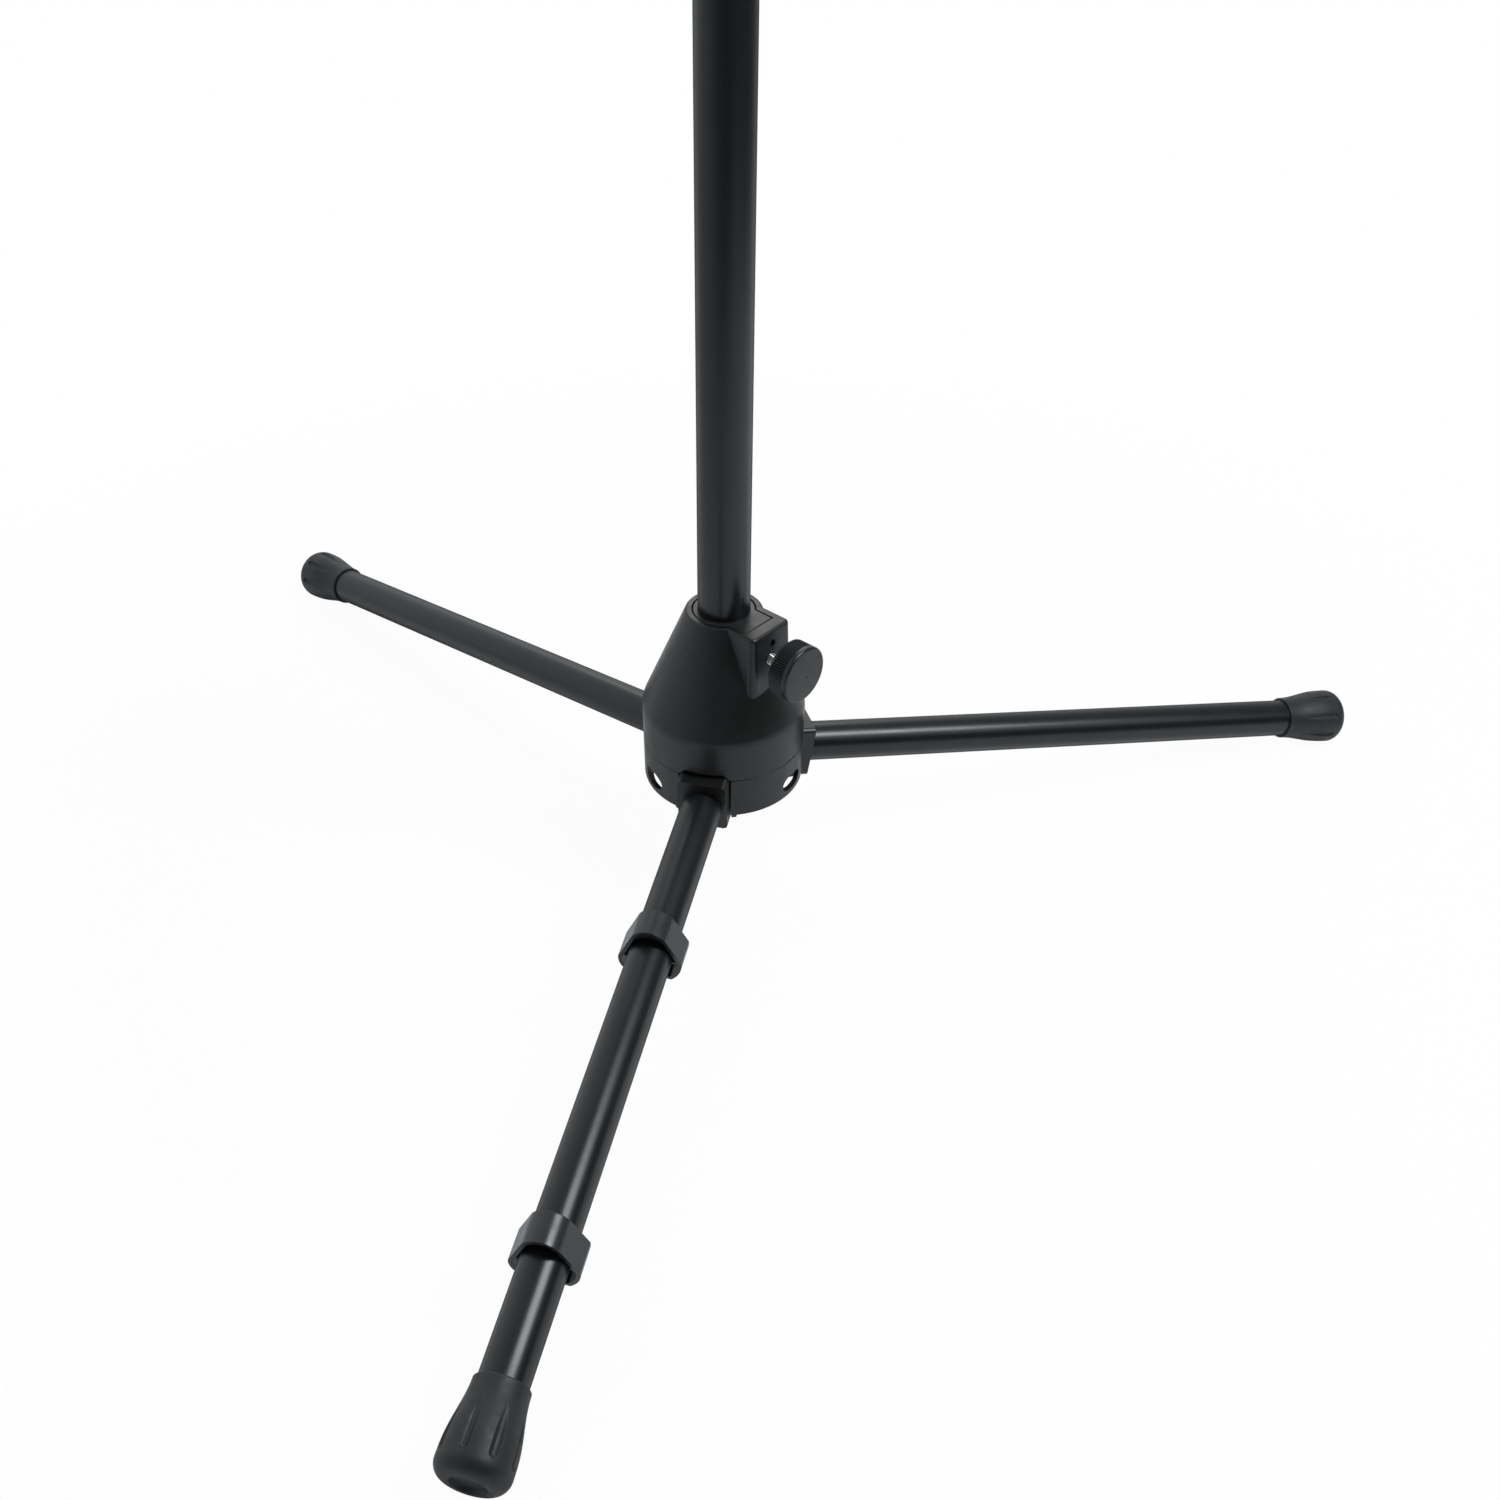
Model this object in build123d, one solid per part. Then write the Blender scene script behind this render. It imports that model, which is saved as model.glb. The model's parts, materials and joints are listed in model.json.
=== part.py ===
"""Tripod trumpet stand: folding legs, clamped column, telescoping rod and bell peg.

Millimetres, +Z up. The origin is on the column's axis at floor level, and the leg with the
two clips points along -Y.
"""
import os
from math import acos, atan2, cos, hypot, pi, radians, sin, tan

from build123d import *

# ---------------------------------------------------------------- driving dimensions
CLEAR = 0.3                  # gap between pieces that move against each other
SLIDE_CLEAR = 0.08           # radial play of a tube in its guide
PIN_CLEAR = 0.05             # radial play of a pin or screw in its hole
JOIN = 0.5                   # how far fused features reach into each other
PAST = 1.0                   # how far a cut runs past the surface it opens

COLUMN_R = 12.5              # column tube
COLUMN_WALL = 1.5
COLUMN_FREE = 300.0          # bare column between the hub and the upper collar
LEG_R = 10.0                 # leg tube
LEG_WALL = 1.5
LEG_SLOPE = 8.43             # degrees below horizontal

# hub shell; heights are measured from the point where the leg axes cross the column axis
HUB_TOP = 81.0
HUB_TOP_R = 18.2
HUB_CONE_FOOT = 28.8
HUB_SHOULDER = 12.0          # rounding between band and cone
HUB_BAND_R = 40.1
HUB_CREASE = 8.0
HUB_FOOT = -13.6
HUB_TAPER = 0.4              # the band narrows towards its foot
HUB_WALL = 2.5
HUB_EDGE = 1.5               # rounding of the hub's top edge
HUB_FOOT_EDGE = 0.6
CREASE_DEPTH = 0.4
CREASE_HALF = 0.5

# hub bushing
BUSH_R = 14.8
BUSH_GROOVE = 3.0            # depth of the open gap round the bushing's top
BUSH_FOOT = 14.0
SLEEVE_WALL = 2.4
HUB_ROOF = 60.0               # ceiling of the hollow under the cone
KEY_WIDTH = 18.0             # block on the bushing that the clamp screw presses
KEY_REACH = 22.0
KEY_HEIGHT = 22.0
KEY_GAP = 0.6                # open gap round the key and the bushing's top
KEY_EDGE = 0.3

# clamp boss on the hub's cone
BOSS_AZIMUTH = -28.0
BOSS_WIDTH = 26.4            # at its top
BOSS_SHIFT = 0.6             # its middle lies beside the screw
BOSS_REACH = 29.4            # at its top
BOSS_DROP = 33.5
BOSS_DRAFT = 2.5             # degrees; the block widens towards its foot
BOSS_EDGE = 2.8              # upright corners
BOSS_TOP_EDGE = 1.7
BOSS_FOOT_EDGE = 3.2
PEEP_R = 1.9                 # small blind hole above the screw
PEEP_RISE = 8.1
PEEP_SIDE = 0.9
PEEP_DEPTH = 1.4

# clamp screws and knobs
SCREW_R = 3.0
SCREW_DROP = 15.1            # screw axis below the hub's top
NUT_AF = 10.0
NUT_THICK = 5.0
HEAD_THICK = 4.0
KNOB_R = 14.0
KNOB_THICK = 12.9
KNOB_STANDOFF = 9.0          # bare screw between boss and knob
KNOB_RIBS = 69
RIB_DEPTH = 0.7
KNOB_BACK_EDGE = 2.0
KNOB_RIM = 2.8               # plain band in front of the ribs
KNOB_DOME = 0.8

# leg knuckle
PIN_INSET = 13.5             # hinge pin inside the hub's band
PIN_LOW = 6.3                # hinge pin below the leg crossing
PIN_R = 3.0
KNUCKLE_WIDTH = 24.5
KNUCKLE_PROUD = 3.1          # front face outside the hub's band, along the leg
KNUCKLE_TOP = 15.3           # above the leg axis
KNUCKLE_BOTTOM = 13.3        # below the leg axis
KNUCKLE_HEEL = 8.5           # rounding about the pin
KNUCKLE_STEP = 7.1           # top face ends this far inside the band
KNUCKLE_EDGE = 2.6
SPIGOT_LONG = 30.0
SLOT_GAP = 0.85              # each side of the knuckle
SLOT_TOP = 11.5
SLOT_CORNER = 3.5
CHEEK_WALL = 2.2
CHEEK_DROP = 2.0             # cheeks reach below the rim
CHEEK_TOP = 27.0
CHEEK_INSET = 6.5            # cheeks reach inwards past the pin
STOP_INSET = 1.5             # stop web in front of the step on the knuckle
WINDOW_WIDE = 11.5
WINDOW_HIGH = 8.5
WINDOW_ASIDE = 2.0           # from a cheek

# foot caps, measured along the leg
CAP_START = 332.8
CAP_END = 369.0
CAP_NECK_R = 11.3
CAP_R = 14.6
CAP_LIP = 0.6                # rounding of the cap's mouth
CAP_SWELL = 1.0
CAP_EDGE = 6.0
CAP_FLOOR = 6.0
CAP_DISH_R = 7.4
CAP_DISH_DEEP = 1.5
CAP_DISH_DRAFT = 1.0
FLUTES = 8
FLUTE_R = 2.0
FLUTE_BITE = 1.2
FLUTE_END = 7.0              # from the flute's round end to the cap's end face
FLUTE_TILT = 3.7
FLUTE_TURN = 11.0            # first flute, about the leg from its top

# clips on the front leg
CLIP_ENDS = {"inner": 135.7, "outer": 285.0}
CLIP_LONG = 13.3
CLIP_WALL = 1.9
CLIP_CROWN_R = 9.0
CLIP_CROWN_UP = 8.3
CLIP_JAW = {-1: (-15.2, -3.0), 1: (14.3, -1.5)}      # widest points: across, above the leg axis
CLIP_BEND = {-1: (-15.1, -7.2), 1: (12.9, -8.6)}
CLIP_TIP = {-1: (-13.9, -10.6), 1: (8.8, -14.2)}
CLIP_SADDLE = 1.4
CLIP_RIB = 1.4
CLIP_LIP = 30.0              # degrees below the leg's side where the lips touch it
CLIP_RECESS = 2.5            # ribs stand back from the clip's end faces

# upper collar
COLLAR_TALL = 52.0
COLLAR_R = 19.0
COLLAR_EDGE = 2.5            # bevel round the collar's foot
COLLAR_FULL = 32.0           # full width up to here
COLLAR_SHOULDER = 40.0
COLLAR_DRAFT = 1.0
COLLAR_LIP = 1.5
COLLAR_LAP = 24.0            # grip on the column
COLLAR_NECK_R = 14.5
COLLAR_REACH = 27.0
COLLAR_BOSS_WIDTH = 18.0
COLLAR_BOSS_TALL = 24.0
COLLAR_SCREW_UP = 37.0       # clamp screw above the collar's foot
PAD_R = 4.0
PAD_THICK = 3.0
COLLAR_NUT = 15.0            # inner face of the collar's nut

# telescoping rod
ROD_R = 9.5
ROD_WALL = 1.2
ROD_FREE = 110.0             # bare rod above the collar
ROD_IN = 150.0               # rod inside the column below the collar
GUIDE_TALL = 14.0

# bell peg
SOCKET_R = 17.0
SOCKET_TALL = 9.0
SOCKET_LEDGE = 2.0           # socket's foot outside the rod
SOCKET_BAND = 3.0
SOCKET_EDGE = 1.0
CUSHION_R = 27.0
CUSHION_TALL = 7.0
CUSHION_EDGE = 1.5
PEG_BASE_R = 19.0
PEG_TIP_R = 10.5
PEG_TALL = 132.0
PEG_WALL = 2.2
PEG_RIBS = 6
PEG_RIB_R = 1.8
PEG_FLANGE = 3.0
PEG_FLANGE_EDGE = 1.0        # flange inside the cushion's rim, and its bevel
PEG_MOUTH_EDGE = 2.0
PEG_SCREW_LONG = 16.0
PEG_HEAD_SIDE = 2.0          # straight part of the screw's head
PEG_HEAD_TALL = 4.0
PEG_HEAD_TOP_R = 4.3
DRIVER_SLOT = 1.4
NOSE_INSET = 1.5
NOSE_RIM = 1.0
NOSE_TALL = 5.4
NOSE_STEM = 8.0

# column's lower plug
PLUG_FLANGE_R = 13.8
PLUG_FLANGE = 3.0
PLUG_SPIGOT = 16.0
COLUMN_FOOT = -8.0

# ---------------------------------------------------------------- derived dimensions
slope = radians(LEG_SLOPE)
HUB_FOOT_R = HUB_BAND_R - HUB_TAPER
PIN_OUT = HUB_BAND_R - PIN_INSET
KNUCKLE_FACE = HUB_BAND_R + KNUCKLE_PROUD
KNUCKLE_BACK = HUB_BAND_R - KNUCKLE_STEP
# the caps' rounded rims touch the floor, which sets the height of the leg crossing
CROSS = (CAP_END - CAP_EDGE) * sin(slope) + (CAP_R - CAP_EDGE) * cos(slope) + CAP_EDGE
HUB_Z = Pos(0, 0, CROSS)
LEG_ANGLES = {"front": -90.0, "right": 30.0, "left": 150.0}
SLOT_HALF = KNUCKLE_WIDTH / 2 + SLOT_GAP
SCREW_Z = HUB_TOP - SCREW_DROP
COLLAR_FOOT = CROSS + HUB_TOP + COLUMN_FREE
COLUMN_TOP = COLLAR_FOOT + COLLAR_LAP
PAD_OUT = ROD_R + CLEAR
COLLAR_HEAD = COLLAR_FOOT + COLLAR_TALL
ROD_TOP = COLLAR_HEAD + ROD_FREE
NUT_R = NUT_AF / 2 / cos(pi / 6)


def at_angle(degrees_):
    """Place a piece drawn along +X at an angle round the column."""
    return Rot(0, 0, degrees_)


def leg_place(name):
    """Place a piece drawn along +X as its leg axis, with +Z above the leg."""
    return HUB_Z * at_angle(LEG_ANGLES[name]) * Rot(0, LEG_SLOPE, 0)


def leg_to_hub(along, above):
    """Radial distance and height, from the leg crossing, of a point beside a leg's axis."""
    return (along * cos(slope) + above * sin(slope), above * cos(slope) - along * sin(slope))


def spin(points):
    """Solid of revolution about Z from a closed outline of (radius, height) points."""
    return revolve(make_face(Plane.XZ * Polyline(*points, close=True)), Axis.Z)


def spin_x(curves):
    """Solid of revolution about X from closed curves drawn as (x, radius)."""
    return revolve(make_face(curves), Axis.X)


def rod_x(start, radius, length):
    return Pos(start, 0, 0) * Rot(0, 90, 0) * Cylinder(
        radius, length, align=(Align.CENTER, Align.CENTER, Align.MIN))


def disc(foot, radius, tall):
    return Pos(0, 0, foot) * Cylinder(radius, tall, align=(Align.CENTER, Align.CENTER, Align.MIN))


def pipe(foot, outer, inner, tall):
    return disc(foot, outer, tall) - disc(foot, inner, tall)


def hex_x(start, length):
    return Pos(start, 0, 0) * extrude(Plane.YZ * RegularPolygon(NUT_R, 6), length)


def touch_point(point, centre, radius, side):
    """Where the line from a point touches a circle; side is +1 or -1."""
    dx = point[0] - centre[0]
    dy = point[1] - centre[1]
    turn = atan2(dy, dx) + side * acos(radius / hypot(dx, dy))
    return on_circle(centre, radius, turn)


def on_circle(centre, radius, turn):
    return (centre[0] + radius * cos(turn), centre[1] + radius * sin(turn))


# ---------------------------------------------------------------- hub
def cone_radius(height):
    share = (HUB_TOP - height) / (HUB_TOP - HUB_CONE_FOOT)
    return HUB_TOP_R + (HUB_BAND_R - HUB_TOP_R) * share


def hub_solid():
    """Foot, tapered band with a parting crease, cone and rounded top edge."""
    crease_r = HUB_BAND_R - HUB_TAPER / 2
    top = (HUB_TOP_R, HUB_TOP)
    shoulder = (HUB_BAND_R, HUB_CONE_FOOT)
    foot = (HUB_FOOT_R, HUB_FOOT)
    outline = make_face(Plane.XZ * Polyline(
        (0, HUB_FOOT), foot, (crease_r, HUB_CREASE - CREASE_HALF), (crease_r - CREASE_DEPTH, HUB_CREASE),
        (crease_r, HUB_CREASE + CREASE_HALF), shoulder, top, (0, HUB_TOP), close=True))
    for point, radius in ((shoulder, HUB_SHOULDER), (top, HUB_EDGE), (foot, HUB_FOOT_EDGE)):
        corner = outline.vertices().sort_by_distance((point[0], 0, point[1]))[0]
        outline = fillet(corner, radius)
    return revolve(outline, Axis.Z)


def hub_hollow():
    """Ring-shaped hollow between the outer wall and the central sleeve, open below."""
    sleeve = BUSH_R + SLEEVE_WALL
    return spin([
        (0, HUB_FOOT - PAST), (HUB_FOOT_R - HUB_WALL, HUB_FOOT - PAST),
        (HUB_BAND_R - HUB_TAPER / 2 - CREASE_DEPTH - HUB_WALL, HUB_CREASE),
        (HUB_BAND_R - HUB_WALL, HUB_CONE_FOOT - HUB_WALL / 2), (cone_radius(HUB_ROOF) - HUB_WALL, HUB_ROOF),
        (sleeve, HUB_ROOF), (sleeve, BUSH_FOOT), (0, BUSH_FOOT),
    ])


def clamp_boss():
    """Drafted block on the cone, flush with its top, that carries the clamp screw."""
    growth = BOSS_DROP * tan(radians(BOSS_DRAFT))
    plan = Pos(0, BOSS_SHIFT) * Rectangle(
        BOSS_REACH + growth, BOSS_WIDTH + 2 * growth, align=(Align.MIN, Align.CENTER))
    plan = fillet(plan.vertices().sort_by(Axis.X)[-2:], BOSS_EDGE + growth)
    block = Pos(0, 0, HUB_TOP - BOSS_DROP) * extrude(plan, BOSS_DROP, taper=BOSS_DRAFT)
    top = block.faces().sort_by(Axis.Z)[-1].edges()
    block = fillet([edge for edge in top if edge.center().X > BOSS_EDGE], BOSS_TOP_EDGE)
    foot = block.faces().sort_by(Axis.Z)[0].edges()
    return fillet([edge for edge in foot if edge.center().X > BOSS_EDGE], BOSS_FOOT_EDGE)


def slot_cutter():
    """Opening for one knuckle, with clipped upper corners."""
    low = HUB_FOOT - CHEEK_DROP - PAST
    outline = Polyline(
        (-SLOT_HALF, low), (SLOT_HALF, low), (SLOT_HALF, SLOT_TOP - SLOT_CORNER),
        (SLOT_HALF - SLOT_CORNER, SLOT_TOP), (SLOT_CORNER - SLOT_HALF, SLOT_TOP),
        (-SLOT_HALF, SLOT_TOP - SLOT_CORNER), close=True)
    return Pos(PIN_OUT, 0, 0) * extrude(make_face(Plane.YZ * outline), HUB_BAND_R - PIN_OUT + PAST)


def cheeks():
    """Walls that carry one hinge pin, and the web above them that stops the leg."""
    low = HUB_FOOT - CHEEK_DROP
    offset = SLOT_HALF + CHEEK_WALL / 2
    inner = PIN_OUT - CHEEK_INSET
    wall = Box(HUB_BAND_R - inner, CHEEK_WALL, CHEEK_TOP - low,
               align=(Align.MIN, Align.CENTER, Align.MIN))
    web_x = KNUCKLE_BACK + STOP_INSET
    web_low = KNUCKLE_TOP / cos(slope) - KNUCKLE_BACK * tan(slope) + CLEAR
    web = Pos(web_x, 0, web_low) * Box(
        CHEEK_WALL, 2 * (SLOT_HALF + JOIN), CHEEK_TOP - web_low,
        align=(Align.CENTER, Align.CENTER, Align.MIN))
    frame = web
    for side in (-1, 1):
        frame += Pos(inner, side * offset, low) * wall
    frame &= disc(low, HUB_FOOT_R - HUB_WALL / 2, CHEEK_TOP - low)
    return frame - Pos(PIN_OUT, 0, -PIN_LOW) * Rot(90, 0, 0) * Cylinder(PIN_R, 4 * SLOT_HALF)


def window_cutter():
    """Rounded hole through the wall beside a leg, in line with its hinge pin."""
    start = SLOT_HALF + CHEEK_WALL + WINDOW_ASIDE
    outline = Plane.XZ * SlotOverall(WINDOW_WIDE, WINDOW_HIGH)
    return Pos(PIN_OUT, -start, -PIN_LOW) * extrude(outline, HUB_BAND_R - start)


def key_block(gap, tall):
    """The bushing's key, or with a gap the pocket it lies in, down from the hub's top."""
    return Pos(0, 0, HUB_TOP - tall) * Box(
        KEY_REACH + gap, KEY_WIDTH + 2 * gap, tall, align=(Align.MIN, Align.CENTER, Align.MIN))


def clamp_cutters():
    """Key pocket, nut seat, screw hole and the small blind hole, drawn along +X."""
    pocket = key_block(KEY_GAP, KEY_HEIGHT + KEY_GAP)
    screw = Pos(0, 0, SCREW_Z)
    seat = screw * hex_x(KEY_REACH, NUT_THICK + 2 * CLEAR)
    hole = screw * rod_x(KEY_REACH, SCREW_R + CLEAR, BOSS_REACH)
    peep = Pos(0, PEEP_SIDE, SCREW_Z + PEEP_RISE) * rod_x(BOSS_REACH - PEEP_DEPTH, PEEP_R, BOSS_REACH)
    return pocket + seat + hole + peep


def hub_shell():
    shell = hub_solid() + at_angle(BOSS_AZIMUTH) * clamp_boss() - hub_hollow()
    shell -= at_angle(BOSS_AZIMUTH) * clamp_cutters()
    shell -= disc(BUSH_FOOT - PAST, BUSH_R, HUB_TOP)
    shell -= disc(HUB_TOP - BUSH_GROOVE, BUSH_R + KEY_GAP, HUB_TOP)
    for angle in LEG_ANGLES.values():
        shell -= at_angle(angle) * slot_cutter()
        shell += at_angle(angle) * cheeks()
        shell -= at_angle(angle) * window_cutter()
    return HUB_Z * shell


def hub_bushing():
    """Sleeve round the column with the block that the clamp screw presses."""
    tall = HUB_TOP - BUSH_FOOT
    key = key_block(0, KEY_HEIGHT)
    key = fillet(key.edges().filter_by(Axis.Z).sort_by(Axis.X)[-2:], 2 * KEY_EDGE)
    sleeve = disc(BUSH_FOOT, BUSH_R, tall) + key
    sleeve = chamfer(sleeve.faces().sort_by(Axis.Z)[-1].edges(), KEY_EDGE)
    return HUB_Z * at_angle(BOSS_AZIMUTH) * (sleeve - disc(BUSH_FOOT, COLUMN_R + SLIDE_CLEAR, tall))


def hinge_pins():
    """Three equal pins, one through each pair of cheeks."""
    pin = Pos(PIN_OUT, 0, -PIN_LOW) * Rot(90, 0, 0) * Cylinder(PIN_R, 2 * (SLOT_HALF + CHEEK_WALL))
    pin = chamfer(pin.edges().filter_by(GeomType.CIRCLE), CLEAR)
    return Compound([HUB_Z * at_angle(angle) * pin for angle in LEG_ANGLES.values()])


# ---------------------------------------------------------------- clamp screws
def nut_x(start):
    return hex_x(start, NUT_THICK) - rod_x(start, SCREW_R + PIN_CLEAR, NUT_THICK)


def screw_x(tip, back):
    """Screw from its tip to the head buried in a knob whose back is at x = back."""
    head_start = back + KNOB_THICK / 2 - HEAD_THICK / 2
    shank = rod_x(tip, SCREW_R, head_start - tip + JOIN)
    shank = chamfer(shank.edges().sort_by(Axis.X)[0], SCREW_R / 5)
    return shank + hex_x(head_start, HEAD_THICK)


def knob_x(back):
    """Ribbed thumb knob with a plain rim and a slightly domed face."""
    ribs = []
    for index in range(KNOB_RIBS):
        turn = 2 * pi * index / KNOB_RIBS
        ribs.append(on_circle((0, 0), KNOB_R, turn))
        ribs.append(on_circle((0, 0), KNOB_R - RIB_DEPTH, turn + pi / KNOB_RIBS))
    rib_start = KNOB_RIM / 2
    rib_end = KNOB_THICK - KNOB_DOME - KNOB_RIM
    ribbed = Pos(rib_start, 0, 0) * extrude(
        make_face(Plane.YZ * Polyline(*ribs, close=True)), rib_end - rib_start)
    face = KNOB_THICK - KNOB_DOME
    edge_r = KNOB_R - KNOB_RIM / 2
    # the dome is part of a sphere centred on the screw's axis
    dome_r = (edge_r * edge_r + KNOB_DOME * KNOB_DOME) / (2 * KNOB_DOME)
    dome_mid = on_circle((KNOB_THICK - dome_r, 0), dome_r, atan2(edge_r, dome_r) / 2)
    core = spin_x(
        Line((0, 0), (0, KNOB_R - KNOB_BACK_EDGE))
        + Line((0, KNOB_R - KNOB_BACK_EDGE), (rib_start, KNOB_R - RIB_DEPTH))
        + Line((rib_start, KNOB_R - RIB_DEPTH), (rib_end, KNOB_R - RIB_DEPTH))
        + Line((rib_end, KNOB_R - RIB_DEPTH), (rib_end, KNOB_R))
        + Line((rib_end, KNOB_R), (face - KNOB_RIM / 2, KNOB_R))
        + RadiusArc((face - KNOB_RIM / 2, KNOB_R), (face, edge_r), KNOB_RIM / 2)
        + ThreePointArc((face, edge_r), dome_mid, (KNOB_THICK, 0))
        + Line((KNOB_THICK, 0), (0, 0)))
    head_start = KNOB_THICK / 2 - HEAD_THICK / 2
    knob = core + ribbed - rod_x(0, SCREW_R, head_start) - hex_x(head_start, HEAD_THICK)
    return Pos(back, 0, 0) * knob


# ---------------------------------------------------------------- legs
def knuckle():
    """Block in the hub's slot: pin bore at the back, square face and spigot at the front."""
    top_front = leg_to_hub(KNUCKLE_FACE, KNUCKLE_TOP)
    foot_front = leg_to_hub(KNUCKLE_FACE, -KNUCKLE_BOTTOM)
    top_back = (KNUCKLE_BACK, KNUCKLE_TOP / cos(slope) - KNUCKLE_BACK * tan(slope))
    centre = (PIN_OUT, -PIN_LOW)
    heel_top = touch_point(top_back, centre, KNUCKLE_HEEL, 1)
    heel_foot = touch_point(foot_front, centre, KNUCKLE_HEEL, -1)
    heel_mid = (PIN_OUT - KNUCKLE_HEEL, -PIN_LOW)
    side = Plane.XZ * (
        Line(top_front, top_back) + Line(top_back, heel_top) + ThreePointArc(heel_top, heel_mid, heel_foot)
        + Line(heel_foot, foot_front) + Line(foot_front, top_front))
    block = extrude(make_face(side), KNUCKLE_WIDTH / 2, both=True)
    front = Pos(0, (KNUCKLE_TOP - KNUCKLE_BOTTOM) / 2) * RectangleRounded(
        KNUCKLE_WIDTH, KNUCKLE_TOP + KNUCKLE_BOTTOM, KNUCKLE_EDGE)
    block &= Rot(0, LEG_SLOPE, 0) * extrude(Plane.YZ * front, KNUCKLE_FACE)
    block -= Pos(PIN_OUT, 0, -PIN_LOW) * Rot(90, 0, 0) * Cylinder(PIN_R + PIN_CLEAR, 2 * KNUCKLE_WIDTH)
    spigot = rod_x(KNUCKLE_FACE - JOIN, LEG_R - LEG_WALL, SPIGOT_LONG + JOIN)
    spigot = chamfer(spigot.edges().sort_by(Axis.X)[-1], LEG_WALL / 2)
    return block + Rot(0, LEG_SLOPE, 0) * spigot


def leg_tube():
    length = CAP_END - CAP_FLOOR - KNUCKLE_FACE
    return rod_x(KNUCKLE_FACE, LEG_R, length) - rod_x(KNUCKLE_FACE, LEG_R - LEG_WALL, length)


def foot_cap():
    """Flared rubber cap with pointed flutes, a rounded end and a shallow dish."""
    floor = CAP_END - CAP_FLOOR
    full = CAP_END - CAP_EDGE
    third = (full - CAP_START) / 3
    outline = (
        Line((CAP_START, LEG_R), (CAP_START, CAP_NECK_R - CAP_LIP))
        + RadiusArc((CAP_START, CAP_NECK_R - CAP_LIP), (CAP_START + CAP_LIP, CAP_NECK_R), CAP_LIP)
        + Spline((CAP_START + CAP_LIP, CAP_NECK_R), (CAP_START + third, CAP_NECK_R + CAP_SWELL),
                 (full - third, CAP_R - CAP_SWELL / 2), (full, CAP_R), tangents=[(1, 0), (1, 0)])
        + RadiusArc((full, CAP_R), (CAP_END, CAP_R - CAP_EDGE), CAP_EDGE)
        + Line((CAP_END, CAP_R - CAP_EDGE), (CAP_END, CAP_DISH_R))
        + Line((CAP_END, CAP_DISH_R), (CAP_END - CAP_DISH_DEEP, CAP_DISH_R - CAP_DISH_DRAFT))
        + Line((CAP_END - CAP_DISH_DEEP, CAP_DISH_R - CAP_DISH_DRAFT), (CAP_END - CAP_DISH_DEEP, 0))
        + Line((CAP_END - CAP_DISH_DEEP, 0), (floor, 0)) + Line((floor, 0), (floor, LEG_R))
        + Line((floor, LEG_R), (CAP_START, LEG_R)))
    cap = spin_x(outline)
    round_end = CAP_END - FLUTE_END - FLUTE_R
    cutter = Sphere(FLUTE_R) + Rot(0, -90, 0) * Cylinder(
        FLUTE_R, full - CAP_START, align=(Align.CENTER, Align.CENTER, Align.MIN))
    cutter = Pos(round_end, 0, CAP_R + FLUTE_R - FLUTE_BITE) * Rot(0, -FLUTE_TILT, 0) * cutter
    for index in range(FLUTES):
        cap -= Rot(FLUTE_TURN + 360 * index / FLUTES, 0, 0) * cutter
    return cap


def leg_clip(end):
    """Horseshoe clip: crown above the tube, splayed flanks, one hooked jaw, recessed ribs."""
    crown = (0, CLIP_CROWN_UP)
    flank = {}
    for side, jaw in CLIP_JAW.items():
        flank[side] = touch_point((abs(jaw[0]), jaw[1]), crown, CLIP_CROWN_R, 1)
    left_flank = (-flank[-1][0], flank[-1][1])
    left, right = -1, 1
    outer = (
        ThreePointArc(flank[right], (0, CLIP_CROWN_UP + CLIP_CROWN_R), left_flank)
        + Line(left_flank, CLIP_JAW[left]) + ThreePointArc(CLIP_JAW[left], CLIP_BEND[left], CLIP_TIP[left])
        + Line(CLIP_TIP[left], CLIP_TIP[right])
        + ThreePointArc(CLIP_TIP[right], CLIP_BEND[right], CLIP_JAW[right])
        + Line(CLIP_JAW[right], flank[right]))
    whole = make_face(outer)
    mouth = Polyline(
        (CLIP_TIP[left][0] + CLIP_WALL, CLIP_JAW[left][1]), (CLIP_TIP[left][0] + CLIP_WALL, -3 * LEG_R),
        (CLIP_TIP[right][0] - CLIP_WALL, -3 * LEG_R), (CLIP_TIP[right][0] - CLIP_WALL, CLIP_BEND[right][1]),
        close=True)
    section = whole - offset(whole, amount=-CLIP_WALL) - make_face(mouth)
    # recessed inside: a saddle on top of the tube, a centre rib and two lips beside the tube
    saddle_r = LEG_R + SLIDE_CLEAR + CLIP_SADDLE
    above = Pos(0, CLIP_CROWN_R + LEG_R / 2) * Rectangle(4 * LEG_R, 2 * CLIP_CROWN_R)
    inside = Circle(saddle_r) & above
    inside += Pos(0, CLIP_CROWN_UP) * Rectangle(CLIP_RIB, 2 * CLIP_CROWN_R)
    inside += Pos(0, -LEG_R * sin(radians(CLIP_LIP))) * Rectangle(4 * LEG_R, CLIP_RIB)
    inside = (inside & whole) - Circle(LEG_R + SLIDE_CLEAR)
    clip = extrude(Plane.YZ * section, CLIP_LONG)
    clip += Pos(CLIP_RECESS, 0, 0) * extrude(Plane.YZ * inside, CLIP_LONG - 2 * CLIP_RECESS)
    return Pos(end - CLIP_LONG, 0, 0) * clip


# ---------------------------------------------------------------- column and upper collar
def column_tube():
    foot = CROSS + COLUMN_FOOT
    return pipe(foot, COLUMN_R, COLUMN_R - COLUMN_WALL, COLUMN_TOP - foot)


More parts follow.
